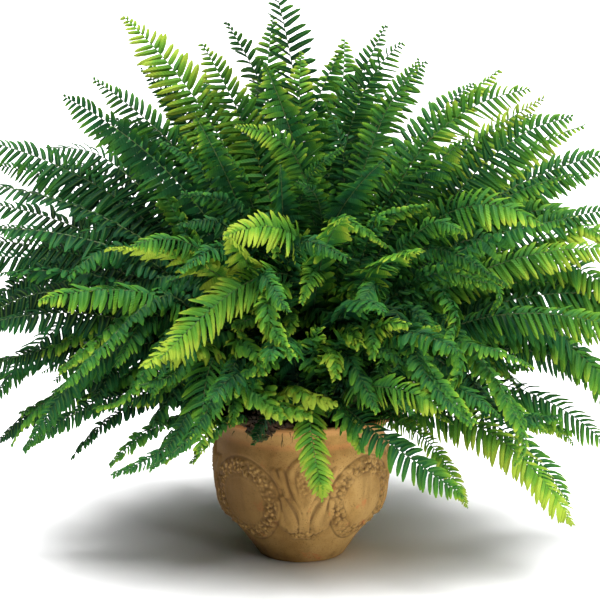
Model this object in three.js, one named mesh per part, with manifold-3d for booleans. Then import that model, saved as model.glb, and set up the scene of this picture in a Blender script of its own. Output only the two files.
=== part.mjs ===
// A sword fern with long arching fronds, growing in an antique-style clay pot.
//
// Millimetres, +Z up. The origin is the centre of the pot's flat foot, -Y is the front.
// The pot is a round bellied bowl with a flared rim and raised medallions. Compost fills it to just
// below the rim. Crowns, the short rhizome stubs that the fronds grow from, stand in plain holes in
// the compost, and each crown carries two fronds. A frond is one thin arched blade, cut to its rib
// into leaflets that stand alternately left and right.

import * as THREE from 'three';
import { mergeVertices } from 'three/addons/utils/BufferGeometryUtils.js';
import Module from 'manifold-3d';

const wasm = await Module();
wasm.setup();

const GAP = 0.35; // between pieces that touch on the real plant

// Pot: outer radii and heights
const POT_HEIGHT = 154;
const FOOT_RADIUS = 45;
const BELLY_RADIUS = 88;
const BELLY_HEIGHT = 100;
const NECK_RADIUS = 83;
const NECK_HEIGHT = 130;
const RIM_RADIUS = 105;
const WALL = 7.5;
const FLOOR = 9;
const FLOOR_RADIUS = FOOT_RADIUS - 6;
const INNER_ROWS = [40, 84, 130, 141]; // heights between which the inner wall runs straight
const POT_SIDES = 44;
const OUTER_ROWS = 13;

// Relief: four round medallions, with an upright bud between each two
const MEDALLIONS = 4;
const RELIEF_HEIGHT = 70;
const WREATH_RADIUS = 33;
const WREATH_WIDTH = 8;
const RELIEF_DEPTH = 2.4;
const BUD_HALF_HEIGHT = 36;
const BUD_HALF_WIDTH = 13;

// Compost
const SOIL_EDGE = 140;
const SOIL_DOME = 8;
const SOIL_SIDES = 20;
const SOIL_RINGS = [1, 0.6, 0]; // shares of its radius that its top is laid out on
const LUMP_HEIGHT = 0.8;
const LUMP_LENGTH = 10;

// Crowns
const CROWN_RADIUS = 5;
const CROWN_DEPTH = 15;
const CROWN_RISE = 4;
const CROWN_SIDES = 4;
const CROWN_TAPER = 0.85; // its top's radius, over its foot's
const HOLE_ROOM = 0.5; // round a crown, measured at its corners
const HOLE_RISE = 10; // that a hole's cutter stands over its crown
const CROWN_FIELD = 66; // radius of the disc of compost that they fill
const CROWN_SPACING = 15;
const SPACING_ROUNDS = 300;
const ROOT_OFFSET = 1.6; // of each frond from the middle of its crown
const ROOT_RISE = 1.4; // of its lower end over the compost, inside the crown
const MEETING_REACH = 32; // from a crown's middle, up to which its two fronds may touch

// Fronds
const HEART = new THREE.Vector3(0, 0, 150); // the point that they spread from
const REACH_TOP = 390;
const REACH_LOW = 300;
const REACH_SPREAD = 0.1;
const LOWEST_RISE = -0.38; // sine of the lowest heading, below the rim
const SPIRAL_FRONDS = 300;
const OPEN_BELOW = 0.05; // sine of the heading, under which the spiral leaves the front open
const GOLDEN_ANGLE = Math.PI * (3 - Math.sqrt(5));
const CELL = 0.335; // radians that a spiral's frond keeps from the next, seen from the heart
const LEAFLET_PITCH = 39;
const LEAFLET_REACH = 0.075; // of the frond's length
const LAST_LEAFLET = 0.16; // its reach, over that of the longest
const LEAST_LEAFLET = 3.2; // reach of the shortest
const LEAFLET_DROOP = 0.16; // of its reach
const LEAFLET_SWEEP = [0.25, 0.75]; // forward, of its reach, at the throat and at the tip
const STIPE_SHARE = 0.13; // of the rib, bare below the first leaflet
const ROOT_HALF_THICKNESS = 1.5;
const RIB_HALF_THICKNESS = 1.15;
const TIP_HALF_THICKNESS = 0.6;
const FACING = 0.7; // radians that the blades at the sides turn, to show a face to the front
const FACING_UPRIGHT = 1.3; // and upright ones, by the nearer way
const FACING_CHANGE = -0.2; // how far forward of the middle the nearer way changes
const ARCH_LEAST = 0.14; // rise of the rib's control point over its chord, of the chord
const ARCH_LEVEL = 0.24; // added for a level chord
const ARCH_HANGING = 0.14; // added for a falling one
const ARCH_SPREAD = 0.25;
const SWAY_SPREAD = 0.1;
const ROLL_SPREAD = 0.5; // radians
const CLEARANCE = 0.3; // that they are bent to keep from one another
const TIP_SHIFT = 30;
const MOST_BEND = 8; // times those spreads and that shift
const TRIES = 400;

// Tips of the fronds that shape the front and the outline, as [right, back, height] of each
const SHAPING_TIPS = [
  // top
  [-24, -20, 572], [-62, 40, 532], [-56, 140, 506], [80, 40, 536], [32, 150, 500], [108, 110, 506],
  [116, -40, 486], [-15, -105, 516], [44, -70, 500], [-70, -122, 470], [-104, 40, 516],
  // upper left
  [-181, 80, 538], [-161, 150, 486], [-228, -60, 470], [-200, 178, 396], [-150, -60, 446],
  [-196, 20, 480], [-222, 110, 440],
  // left
  [-328, 0, 424], [-316, 100, 383], [-283, 160, 352], [-322, -66, 388], [-322, 60, 338],
  [-328, -14, 300], [-318, 66, 238], [-281, -130, 311], [-236, -172, 286], [-304, -100, 213],
  [-274, 88, 165], [-310, 0, 111], [-306, -116, 350], [-324, 20, 356], [-296, -124, 262],
  [-326, -56, 330],
  // upper right
  [180, 130, 462], [226, -20, 452], [205, 155, 402], [273, -42, 440], [312, 30, 405],
  [160, -90, 436], [196, 50, 470], [252, -100, 400], [240, 90, 430],
  // right
  [241, -150, 364], [326, 42, 338], [314, -60, 316], [320, -92, 264], [322, 50, 212],
  [313, -56, 184], [310, -70, 119], [212, -190, 234], [236, -110, 150], [181, -196, 190],
  [306, 90, 376], [322, -20, 356], [318, -10, 236], [322, -56, 286], [300, 84, 288],
  // arching towards the front
  [-78, -230, 371], [-174, -200, 346], [-140, -250, 249], [-80, -262, 222], [-29, -280, 262],
  [38, -238, 380], [70, -284, 306], [102, -222, 352], [140, -252, 262], [98, -240, 204],
  [-20, -190, 420], [60, -160, 440],
  // short ones over the front of the rim
  [-46, -156, 152], [58, -158, 166], [112, -134, 172], [-92, -134, 178], [4, -172, 196],
  [146, -104, 158], [36, -140, 236], [-60, -128, 244], [92, -122, 222],
  // hanging past the rim
  [154, -164, 92], [236, -146, 58], [256, -96, 66], [21, -192, 106], [-102, -176, 140],
  [-123, -132, 102], [-161, -84, 86], [-190, -130, 108], [-232, -50, 104], [-264, -122, 139],
];

// A stream of repeatable random numbers from 0 to 1
function seeded(seed) {
  let state = seed;
  return () => {
    state = (state + 0x6d2b79f5) | 0;
    let t = Math.imul(state ^ (state >>> 15), 1 | state);
    t = (t + Math.imul(t ^ (t >>> 7), 61 | t)) ^ t;
    return ((t ^ (t >>> 14)) >>> 0) / 4294967296;
  };
}

// The closed solid of a geometry
function solidOf(geometry) {
  const bare = geometry.index ? geometry.toNonIndexed() : geometry.clone();
  bare.deleteAttribute('normal');
  bare.deleteAttribute('uv');
  const merged = mergeVertices(bare, 1e-3);
  const index = merged.index.array;
  const triVerts = [];
  for (let i = 0; i < index.length; i += 3) {
    const [a, b, c] = [index[i], index[i + 1], index[i + 2]];
    if (a !== b && b !== c && c !== a) triVerts.push(a, b, c);
  }
  return new wasm.Manifold(new wasm.Mesh({
    numProp: 3,
    vertProperties: merged.attributes.position.array,
    triVerts: new Uint32Array(triVerts),
  }));
}

function meshOf(name, solid, material) {
  const { vertProperties, triVerts, numProp } = solid.getMesh();
  const geometry = new THREE.BufferGeometry();
  const positions = numProp === 3 ? vertProperties : vertProperties.filter((_, i) => i % numProp < 3);
  geometry.setAttribute('position', new THREE.BufferAttribute(positions, 3));
  geometry.setIndex(new THREE.BufferAttribute(new Uint32Array(triVerts), 1));
  geometry.computeVertexNormals();
  const mesh = new THREE.Mesh(geometry, material);
  mesh.name = name;
  return mesh;
}

// A lathe of [radius, height] points, turned about +Z
function turned(profile, sides) {
  const points = profile.map(([radius, height]) => new THREE.Vector2(radius, height));
  return new THREE.LatheGeometry(points, sides).rotateX(Math.PI / 2);
}

// The pot's outer line, from the foot to the underside of the lip
const outerLine = new THREE.SplineCurve([
  [FOOT_RADIUS, 2], [FOOT_RADIUS + 16, 25], [BELLY_RADIUS - 7, 51], [BELLY_RADIUS - 1, 76],
  [BELLY_RADIUS, BELLY_HEIGHT], [BELLY_RADIUS - 2, BELLY_HEIGHT + 17], [NECK_RADIUS, NECK_HEIGHT],
  [NECK_RADIUS + 7, NECK_HEIGHT + 11], [RIM_RADIUS - 4, POT_HEIGHT - 5],
].map(([radius, height]) => new THREE.Vector2(radius, height)));

const outerPoints = outerLine.getPoints(200);

function innerRadius(height) {
  const nearer = (a, b) => (Math.abs(b.y - height) < Math.abs(a.y - height) ? b : a);
  return outerPoints.reduce(nearer).x - WALL;
}

// How far the ornament stands out of the wall, at an angle round the pot and a height
function relief(angle, height) {
  const step = (2 * Math.PI) / MEDALLIONS;
  const up = height - RELIEF_HEIGHT;
  const along = (centre) => {
    const turns = (angle + Math.PI / 2 - centre) / step;
    return (turns - Math.round(turns)) * step * (BELLY_RADIUS - 6);
  };
  const ring = (Math.hypot(along(step / 2), up) - WREATH_RADIUS) / WREATH_WIDTH;
  const bud = Math.hypot(along(0) / BUD_HALF_WIDTH, up / BUD_HALF_HEIGHT);
  return RELIEF_DEPTH * Math.max(0, 1 - ring * ring, 1 - bud * bud);
}

function makePot() {
  const outer = outerLine.getSpacedPoints(OUTER_ROWS).map(({ x, y }) => [x, y]);
  const lip = [
    [RIM_RADIUS, POT_HEIGHT - 4], [RIM_RADIUS - 3, POT_HEIGHT], [RIM_RADIUS - 8, POT_HEIGHT - 2],
  ];
  const inner = [...INNER_ROWS].reverse().map((height) => [innerRadius(height), height]);
  const foot = [[0, 0], [FOOT_RADIUS - 2, 0]];
  const profile = [...foot, ...outer, ...lip, ...inner, [FLOOR_RADIUS, FLOOR], [0, FLOOR]];
  const geometry = turned(profile, POT_SIDES);
  const position = geometry.attributes.position;
  for (let i = 0; i < position.count; i++) {
    const row = i % profile.length;
    if (row < foot.length || row >= foot.length + outer.length) continue;
    const [x, y] = [position.getX(i), position.getY(i)];
    const grow = 1 + relief(Math.atan2(y, x), position.getZ(i)) / Math.hypot(x, y);
    position.setXY(i, x * grow, y * grow);
  }
  return solidOf(geometry);
}

const soilRadius = innerRadius(SOIL_EDGE) - 2 * GAP;

function soilHeight(x, y) {
  const out = Math.min(1, Math.hypot(x, y) / soilRadius);
  const lump = LUMP_HEIGHT * Math.sin(x / LUMP_LENGTH) * Math.cos(y / LUMP_LENGTH);
  return SOIL_EDGE + SOIL_DOME * (1 - out * out) + lump * (1 - out ** 4);
}

// A crown, or the larger cutter that makes its hole
function crownSolid({ x, y }, room, rise) {
  const top = soilHeight(x, y) + CROWN_RISE + rise;
  const bottom = soilHeight(x, y) - CROWN_DEPTH - room;
  const radius = CROWN_RADIUS + room;
  const upper = radius - CROWN_RADIUS * (1 - CROWN_TAPER);
  const geometry = new THREE.CylinderGeometry(upper, radius, top - bottom, CROWN_SIDES);
  geometry.rotateX(Math.PI / 2);
  geometry.translate(x, y, (top + bottom) / 2);
  return solidOf(geometry);
}

function makeSoil(crowns) {
  const profile = [[0, FLOOR + GAP], [FLOOR_RADIUS - 2 * GAP, FLOOR + GAP]];
  for (const height of INNER_ROWS) {
    if (height < SOIL_EDGE) profile.push([innerRadius(height) - 2 * GAP, height]);
  }
  for (const share of SOIL_RINGS) profile.push([soilRadius * share, SOIL_EDGE]);
  const geometry = turned(profile, SOIL_SIDES);
  const position = geometry.attributes.position;
  for (let i = 0; i < position.count; i++) {
    if (i % profile.length < profile.length - SOIL_RINGS.length) continue;
    position.setZ(i, soilHeight(position.getX(i), position.getY(i)));
  }
  let soil = solidOf(geometry);
  for (const crown of crowns) soil = soil.subtract(crownSolid(crown, HOLE_ROOM, HOLE_RISE));
  return soil;
}

// The share of its full reach that a leaflet has, v of the way up the blade: half at the throat,
// all of it from a third to half of the way up, and then less and less towards the tip
function leafletShare(v) {
  const waking = 0.5 + 0.5 * Math.sin((Math.min(1, 3 * v) * Math.PI) / 2);
  const tapering = 1 - Math.max(0, 2 * v - 1) ** 1.8;
  return waking * Math.max(LAST_LEAFLET, tapering);
}

// The rib of a frond: it leaves its crown steeply and arches over to its tip. The frond's turn is
// how far its blade is rolled about the rib.
function ribOf(frond) {
  const { crown, tip, outward } = frond;
  const root = new THREE.Vector3(crown.x, crown.y, 0).addScaledVector(outward, ROOT_OFFSET);
  root.z = soilHeight(root.x, root.y) + ROOT_RISE;
  const chord = tip.clone().sub(root);
  const along = chord.clone().normalize();
  const lift = new THREE.Vector3(0, 0, 1).addScaledVector(along, -along.z).normalize();
  const level = Math.sqrt(Math.max(0, 1 - along.z * along.z));
  const arch = frond.arch * (ARCH_LEAST + ARCH_LEVEL * level + ARCH_HANGING * Math.max(0, -along.z));
  const side = new THREE.Vector3().crossVectors(along, lift);
  const control = root.clone().addScaledVector(chord, 0.5);
  control.addScaledVector(lift, arch * chord.length());
  control.addScaledVector(side, frond.sway * chord.length());
  const steep = Math.max(0, along.z) ** 2;
  const upright = outward.y > FACING_CHANGE ? FACING_UPRIGHT : -FACING_UPRIGHT;
  frond.turn = outward.x * (FACING * (1 - steep) + upright * steep) + frond.roll;
  return new THREE.QuadraticBezierCurve3(root, control, tip);
}

// The blade at a place on its rib, with its right and upper side
function bladeAt(frond, share) {
  const { rib, outward, turn } = frond;
  const tangent = rib.getTangentAt(share);
  const level = new THREE.Vector3(outward.y, -outward.x, 0);
  const upper = new THREE.Vector3().crossVectors(level, tangent).normalize();
  const right = new THREE.Vector3().crossVectors(tangent, upper).normalize();
  upper.applyAxisAngle(tangent, turn);
  right.applyAxisAngle(tangent, turn);
  return { at: rib.getPointAt(share), tangent, right, upper };
}

function frondSolid(frond) {
  frond.rib = ribOf(frond);
  const length = frond.rib.getLength();
  const stations = 2 * Math.max(5, Math.round((length * (1 - STIPE_SHARE)) / LEAFLET_PITCH));
  const points = [];
  const triangles = [];
  const add = ({ at }, ...moves) => {
    const point = at.clone();
    for (const [axis, distance] of moves) point.addScaledVector(axis, distance);
    return points.push(point) - 1;
  };

  // The bare stipe, between rings of an upper, right, lower and left corner
  const rings = [0, 0.5, 1].map((share) => {
    const blade = bladeAt(frond, share * STIPE_SHARE);
    const thick = THREE.MathUtils.lerp(ROOT_HALF_THICKNESS, RIB_HALF_THICKNESS, share);
    const corners = [[blade.upper, 1], [blade.right, 1], [blade.upper, -1], [blade.right, -1]];
    return corners.map(([axis, sign]) => add(blade, [axis, sign * thick]));
  });
  for (let ring = 1; ring < rings.length; ring++) {
    const [near, far] = [rings[ring - 1], rings[ring]];
    for (let corner = 0; corner < 4; corner++) {
      const next = (corner + 1) % 4;
      triangles.push([near[corner], near[next], far[next]], [near[corner], far[next], far[corner]]);
    }
  }
  const root = rings[0];
  triangles.push([root[0], root[3], root[2]], [root[0], root[2], root[1]]);

  // The rib's upper and lower line along the blade
  const [upperThroat, rightThroat, lowerThroat, leftThroat] = rings[rings.length - 1];
  const blades = [bladeAt(frond, STIPE_SHARE)];
  const upper = [upperThroat];
  const lower = [lowerThroat];
  for (let s = 1; s <= stations; s++) {
    const blade = bladeAt(frond, STIPE_SHARE + (1 - STIPE_SHARE) * (s / stations));
    const thick = THREE.MathUtils.lerp(RIB_HALF_THICKNESS, TIP_HALF_THICKNESS, s / stations);
    blades.push(blade);
    upper.push(add(blade, [blade.upper, thick]));
    lower.push(add(blade, [blade.upper, -thick]));
  }

  // A leaflet over two stations, right of the rib for side 1 and left of it for side -1
  const leaflet = (a, side) => {
    const [b, c] = [a + 1, a + 2];
    const out = Math.max(LEAST_LEAFLET, LEAFLET_REACH * length * leafletShare(b / stations));
    const forward = out * THREE.MathUtils.lerp(...LEAFLET_SWEEP, b / stations);
    const { at, right, tangent, upper: up } = blades[b];
    const tip = add({ at }, [right, side * out], [tangent, forward], [up, -LEAFLET_DROOP * out]);
    const faces = [
      [upper[a], tip, upper[b]], [upper[b], tip, upper[c]], [lower[a], lower[b], tip],
      [lower[b], lower[c], tip], [upper[c], tip, lower[c]],
    ];
    if (a > 0) faces.push([upper[a], lower[a], tip]);
    else faces.push([upper[a], leftThroat, tip], [leftThroat, lower[a], tip]);
    for (const [p, q, r] of faces) triangles.push(side > 0 ? [p, q, r] : [r, q, p]);
  };
  for (let s = 0; s + 2 <= stations; s += 2) leaflet(s, -1);
  for (let s = 1; s + 2 <= stations; s += 2) leaflet(s, 1);

  // The rib's bare right side, before its first leaflet and after its last
  const end = stations;
  triangles.push(
    [upper[0], rightThroat, upper[1]],
    [rightThroat, lower[0], lower[1]],
    [rightThroat, lower[1], upper[1]],
    [upper[end - 1], lower[end - 1], lower[end]],
    [upper[end - 1], lower[end], upper[end]],
  );
  return new wasm.Manifold(new wasm.Mesh({
    numProp: 3,
    vertProperties: new Float32Array(points.flatMap((point) => point.toArray())),
    triVerts: new Uint32Array(triangles.flat()),
  }));
}

// The shaping tips, then those of a spiral over the dome that fall well clear of the others
function frondTips() {
  const tips = SHAPING_TIPS.map((place) => new THREE.Vector3(...place));
  const headings = tips.map((tip) => tip.clone().sub(HEART).normalize());
  const random = seeded(11);
  for (let k = 0; k < SPIRAL_FRONDS; k++) {
    const rise = 1 - ((k + 0.5) / SPIRAL_FRONDS) * (1 - LOWEST_RISE);
    const level = Math.sqrt(1 - rise * rise);
    const away = k * GOLDEN_ANGLE;
    const heading = new THREE.Vector3(level * Math.cos(away), level * Math.sin(away), rise);
    const open = rise < OPEN_BELOW && heading.y < 0;
    if (open || headings.some((other) => other.angleTo(heading) < CELL)) continue;
    const reach = THREE.MathUtils.lerp(REACH_LOW, REACH_TOP, Math.sqrt(Math.max(0, rise)));
    headings.push(heading);
    tips.push(HEART.clone().addScaledVector(heading, reach * (1 - REACH_SPREAD * random())));
  }
  return tips.map((tip, i) => ({ tip, heading: headings[i] }));
}

// Crowns with two fronds of near headings each, set where the two lean from and pushed apart
function makeCrowns() {
  const free = frondTips().sort((a, b) => a.heading.z - b.heading.z);
  if (free.length % 2) free.shift();
  const crowns = [];
  while (free.length) {
    const first = free.shift();
    const angles = free.map((other) => other.heading.angleTo(first.heading));
    const [second] = free.splice(angles.indexOf(Math.min(...angles)), 1);
    const middle = first.heading.clone().add(second.heading).normalize();
    const out = CROWN_FIELD * Math.sqrt((1 - middle.z) / (1 - LOWEST_RISE));
    const away = Math.atan2(middle.y, middle.x);
    crowns.push({ x: out * Math.cos(away), y: out * Math.sin(away), fronds: [first, second] });
  }
  for (let round = 0; round < SPACING_ROUNDS; round++) {
    for (const crown of crowns) {
      for (const other of crowns) {
        const [dx, dy] = [crown.x - other.x, crown.y - other.y];
        const apart = Math.hypot(dx, dy);
        if (crown === other || apart >= CROWN_SPACING) continue;
        const push = (0.5 * (CROWN_SPACING - apart)) / Math.max(apart, 0.01);
        crown.x += dx * push;
        crown.y += dy * push;
      }
      const out = Math.hypot(crown.x, crown.y) / CROWN_FIELD;
      if (out > 1) [crown.x, crown.y] = [crown.x / out, crown.y / out];
    }
  }
  return crowns;
}

// Whether a frond comes too near a solid placed before it. The two of one crown may meet at its foot.
function tooNear({ solid, box, crown }, other) {
  const apart = (axis) => box.min[axis] - CLEARANCE > other.box.max[axis]
    || other.box.min[axis] - CLEARANCE > box.max[axis];
  if (apart(0) || apart(1) || apart(2)) return false;
  if (crown !== other.crown) return solid.minGap(other.solid, CLEARANCE) < CLEARANCE;
  const meeting = solid.intersect(other.solid).boundingBox();
  const far = [crown.x, crown.y, SOIL_EDGE].map((middle, axis) => Math.max(
    meeting.max[axis] - middle, middle - meeting.min[axis],
  ));
  return Math.hypot(...far) > MEETING_REACH;
}

// Grows the fronds, each bent until it clears those before it, the pot and the compost
function growFronds(crowns, obstacles) {
  const random = seeded(5);
  const placed = obstacles.map((solid) => ({ solid, box: solid.boundingBox() }));
  const fronds = crowns.flatMap((crown) => crown.fronds.map((frond) => ({ ...frond, crown })));
  fronds.sort((a, b) => b.tip.distanceTo(HEART) - a.tip.distanceTo(HEART));
  for (const crown of crowns) crown.solids = [];
  for (const frond of fronds) {
    const { x, y } = frond.tip;
    frond.outward = new THREE.Vector3(x, y, 0).normalize();
    const home = {
      tip: frond.tip,
      arch: 1 + ARCH_SPREAD * (random() - 0.5),
      sway: SWAY_SPREAD * (random() - 0.5),
      roll: ROLL_SPREAD * (random() - 0.5),
    };
    let best = null;
    for (let attempt = 0; attempt < TRIES && !best; attempt++) {
      const bend = MOST_BEND * (attempt / TRIES);
      const shift = new THREE.Vector3(random() - 0.5, random() - 0.5, random() - 0.5);
      frond.tip = home.tip.clone().addScaledVector(shift, bend * TIP_SHIFT);
      frond.arch = home.arch * (1 + bend * ARCH_SPREAD * (random() - 0.5));
      frond.sway = home.sway + bend * SWAY_SPREAD * (random() - 0.5);
      frond.roll = home.roll + bend * ROLL_SPREAD * (random() - 0.5);
      const solid = frondSolid(frond);
      const bent = { solid, box: solid.boundingBox(), crown: frond.crown };
      if (!placed.some((other) => tooNear(bent, other))) best = bent;
    }
    if (!best) throw new Error(`no room for the frond to ${home.tip.toArray()}`);
    placed.push(best);
    frond.crown.solids.push(best.solid);
  }
}

const crowns = makeCrowns();
const potSolid = makePot();
const soilSolid = makeSoil(crowns);
growFronds(crowns, [potSolid, soilSolid]);

const clay = new THREE.MeshStandardMaterial({ color: 0xa5834a, roughness: 0.85, metalness: 0 });
const compost = new THREE.MeshStandardMaterial({ color: 0x2c2118, roughness: 0.95, metalness: 0 });
const green = new THREE.MeshStandardMaterial({ color: 0x3f7a24, roughness: 0.6, metalness: 0 });

const group = new THREE.Group();
group.name = 'potted_fern';
group.add(meshOf('pot', potSolid, clay), meshOf('soil', soilSolid, compost));
crowns.forEach((crown, i) => {
  const solid = wasm.Manifold.union([crownSolid(crown, 0, 0), ...crown.solids]);
  group.add(meshOf(`crown_${String(i + 1).padStart(2, '0')}`, solid, green));
});

export default group;
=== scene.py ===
# A sword fern in an old clay pot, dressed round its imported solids.
#
# Metres, +Z up, -Y is the front, and the origin is the middle of the pot's flat foot. The sections
# follow the plant as it is potted: the studio, the pot, the compost, the moss and crumbs on it, the
# crowns with their long fronds, the arching fronds, and the crested ones that fill the middle.
import math
import random

import bmesh
import bpy
import numpy as np
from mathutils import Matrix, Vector, noise


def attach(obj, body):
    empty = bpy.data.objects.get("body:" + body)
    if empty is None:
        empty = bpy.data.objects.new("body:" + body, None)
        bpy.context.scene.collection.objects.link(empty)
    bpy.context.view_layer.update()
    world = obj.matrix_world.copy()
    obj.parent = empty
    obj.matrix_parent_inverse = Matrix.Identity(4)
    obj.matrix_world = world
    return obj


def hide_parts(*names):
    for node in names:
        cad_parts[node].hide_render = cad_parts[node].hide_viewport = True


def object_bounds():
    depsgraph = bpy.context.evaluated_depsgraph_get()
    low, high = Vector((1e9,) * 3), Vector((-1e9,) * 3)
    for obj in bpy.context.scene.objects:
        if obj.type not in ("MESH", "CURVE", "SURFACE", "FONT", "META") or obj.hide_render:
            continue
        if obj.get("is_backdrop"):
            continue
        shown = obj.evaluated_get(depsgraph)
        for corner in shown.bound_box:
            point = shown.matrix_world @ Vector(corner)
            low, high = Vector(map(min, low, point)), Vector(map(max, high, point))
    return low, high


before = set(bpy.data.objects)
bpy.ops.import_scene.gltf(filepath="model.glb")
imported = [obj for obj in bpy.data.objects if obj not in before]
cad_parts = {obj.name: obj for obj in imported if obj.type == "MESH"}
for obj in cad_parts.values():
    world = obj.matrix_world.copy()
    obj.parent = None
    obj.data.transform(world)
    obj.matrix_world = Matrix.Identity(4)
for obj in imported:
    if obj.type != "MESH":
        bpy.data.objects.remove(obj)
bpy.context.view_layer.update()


# The studio: a plain pale floor that runs out of sight behind the pot, a large soft lamp almost
# overhead, a long low panel of light at the right, a pale sky, and a camera a little above the rim.
FLOOR_SIZE = 90.0
FLOOR_COLOUR = (0.93, 0.93, 0.93)
FLOOR_SHADE = (0.90, 0.90, 0.91)
LAMP_FROM = Vector((0.08, -0.20, 1.0))
LAMP_POWER = 9.7
LAMP_SPREAD = math.radians(56)
SKY_POWER = 0.04
PANEL_FROM = Vector((1.55, -1.20, 0.18))
PANEL_AIM = Vector((0, 0, 0.12))
PANEL_SIZE = (0.90, 0.32)
PANEL_POWER = 17
AIM = Vector((-0.0015, 0.0, 0.26))
CAMERA_DISTANCE = 2.0
CAMERA_RISE = math.radians(11)
CAMERA_LENS = 120
CAMERA_SENSOR = 36
CAMERA_FAR = 200


class Tone:
    """A value or colour of a material, from one socket of its nodes, that Python can reckon with."""

    def __init__(self, tree, socket=None):
        self.tree = tree
        self.socket = socket

    def node(self, kind, sockets, out=0, **settings):
        """A new node, fed with these values, as the tone of one of its outputs."""
        made = self.tree.nodes.new("ShaderNode" + kind)
        for name, value in settings.items():
            if name != "stops":
                setattr(made, name, value)
                continue
            while len(made.color_ramp.elements) < len(value):
                made.color_ramp.elements.new(1.0)
            for element, (place, colour) in zip(made.color_ramp.elements, value):
                element.position = place
                element.color = (*colour, 1.0)
        for name, value in sockets.items():
            if isinstance(value, Tone):
                self.tree.links.new(value.socket, made.inputs[name])
            else:
                made.inputs[name].default_value = value
        return Tone(self.tree, made.outputs[out] if len(made.outputs) else None)

    def math(self, operation, first, second):
        return self.node("Math", {0: first, 1: second}, operation=operation)

    def __add__(self, other):
        return self.math("ADD", self, other)

    __radd__ = __add__

    def __sub__(self, other):
        return self.math("SUBTRACT", self, other)

    def __rsub__(self, other):
        return self.math("SUBTRACT", other, self)

    def __mul__(self, other):
        return self.math("MULTIPLY", self, other)

    __rmul__ = __mul__

    def __pow__(self, other):
        return self.math("POWER", self, other)

    def held(self):
        """Kept between 0 and 1."""
        return self.node("Clamp", {"Value": self})

    def step(self, low, high):
        """0 below low and 1 above high, with a soft rise between them."""
        ends = {"Value": self, "From Min": low, "From Max": high}
        return self.node("MapRange", ends, interpolation_type="SMOOTHSTEP")

    def mixed(self, first, second):
        """From the first colour to the second, by this value."""
        colours = [c if isinstance(c, Tone) else (*c, 1.0) for c in (first, second)]
        return self.node("Mix", {0: self, 6: colours[0], 7: colours[1]}, 2, data_type="RGBA")

    def carried(self, name, out):
        """What the mesh carries under this name."""
        return self.node("Attribute", {}, out, attribute_name=name)

    def bumped(self, distance, strength):
        """A surface that this value raises by up to a distance."""
        return self.node("Bump", {"Height": self, "Distance": distance, "Strength": strength}, "Normal")

    def grain(self, scale, detail=3.0, roughness=0.55, stretch=(1.0, 1.0, 1.0)):
        """Cloudy noise of this many lumps to the metre, over the piece's own coordinates."""
        place = self.node("TexCoord", {}, "Object")
        place = self.node("Mapping", {"Vector": place, "Scale": stretch})
        sockets = {"Vector": place, "Scale": scale, "Detail": detail, "Roughness": roughness}
        return self.node("TexNoise", sockets, noise_dimensions="3D")


def finish_of(name):
    """A new material with no nodes yet, and the pen that adds them."""
    material = bpy.data.materials.new(name)
    material.use_nodes = True
    material.node_tree.nodes.clear()
    return material, Tone(material.node_tree)


def surface(pen, colour, roughness, specular, normal=None):
    """Closes a material with its shader."""
    sockets = {"Base Color": colour, "Roughness": roughness, "Specular IOR Level": specular}
    if normal:
        sockets["Normal"] = normal
    pen.node("OutputMaterial", {"Surface": pen.node("BsdfPrincipled", sockets, "BSDF")})


floor_finish, pen = finish_of("studio_floor")
cloud = pen.grain(0.8)
surface(pen, cloud.mixed(FLOOR_COLOUR, FLOOR_SHADE), 0.85 + 0.1 * cloud, 0.1)

bpy.ops.object.select_all(action="DESELECT")
bpy.ops.mesh.primitive_plane_add(size=FLOOR_SIZE, location=(0, 0, 0))
floor = bpy.context.object
floor.name = "floor"
floor.data.materials.append(floor_finish)
floor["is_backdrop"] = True

bpy.ops.object.light_add(type="SUN", location=LAMP_FROM)
lamp = bpy.context.object
lamp.data.energy = LAMP_POWER
lamp.data.angle = LAMP_SPREAD
lamp.rotation_euler = LAMP_FROM.to_track_quat("Z", "Y").to_euler()

bpy.ops.object.light_add(type="AREA", location=PANEL_FROM)
panel = bpy.context.object
panel.data.shape = "RECTANGLE"
panel.data.size, panel.data.size_y = PANEL_SIZE
panel.data.energy = PANEL_POWER
panel.rotation_euler = (PANEL_FROM - PANEL_AIM).to_track_quat("Z", "Y").to_euler()

sky = bpy.data.worlds.new("pale_sky")
sky.use_nodes = True
sky.node_tree.nodes["Background"].inputs["Color"].default_value = (1.0, 1.0, 1.0, 1.0)
sky.node_tree.nodes["Background"].inputs["Strength"].default_value = SKY_POWER
bpy.context.scene.world = sky
bpy.context.scene.view_settings.view_transform = "Standard"

back = Vector((0, -math.cos(CAMERA_RISE), math.sin(CAMERA_RISE)))
bpy.ops.object.camera_add(location=AIM + back * CAMERA_DISTANCE)
camera = bpy.context.object
camera.rotation_euler = back.to_track_quat("Z", "Y").to_euler()
camera.data.lens = CAMERA_LENS
camera.data.sensor_width = CAMERA_SENSOR
camera.data.clip_end = CAMERA_FAR
bpy.context.scene.camera = camera


# The pot: one fired clay body with a flat foot, a round belly, a neck and a flared rim. Its four
# beaded wreaths, and the palm buds between them, were pressed in a mould, and the clay has weathered.
OUTER_LINE = [
    (0.045, 0.002), (0.061, 0.025), (0.081, 0.051), (0.087, 0.076), (0.088, 0.100),
    (0.086, 0.117), (0.083, 0.130), (0.090, 0.141), (0.101, 0.149),
]
LIP_LINE = [
    (0.1035, 0.1494), (0.1050, 0.1503), (0.1051, 0.1518), (0.1042, 0.1532), (0.1025, 0.1540),
    (0.1000, 0.1538), (0.0970, 0.1520), (0.0930, 0.1490),
]
POT_WALL = 0.0075
POT_FLOOR = 0.009
POT_FLOOR_RADIUS = 0.039
INNER_HEIGHTS = [0.141, 0.136, 0.130, 0.084, 0.040]
POT_COLUMNS = 560
FOOT_ROWS = 9
NECK_ROWS = 15
FOOT_EDGE = 0.002
NECK_END = 0.149
RELIEF_LOW = 0.022
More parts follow.
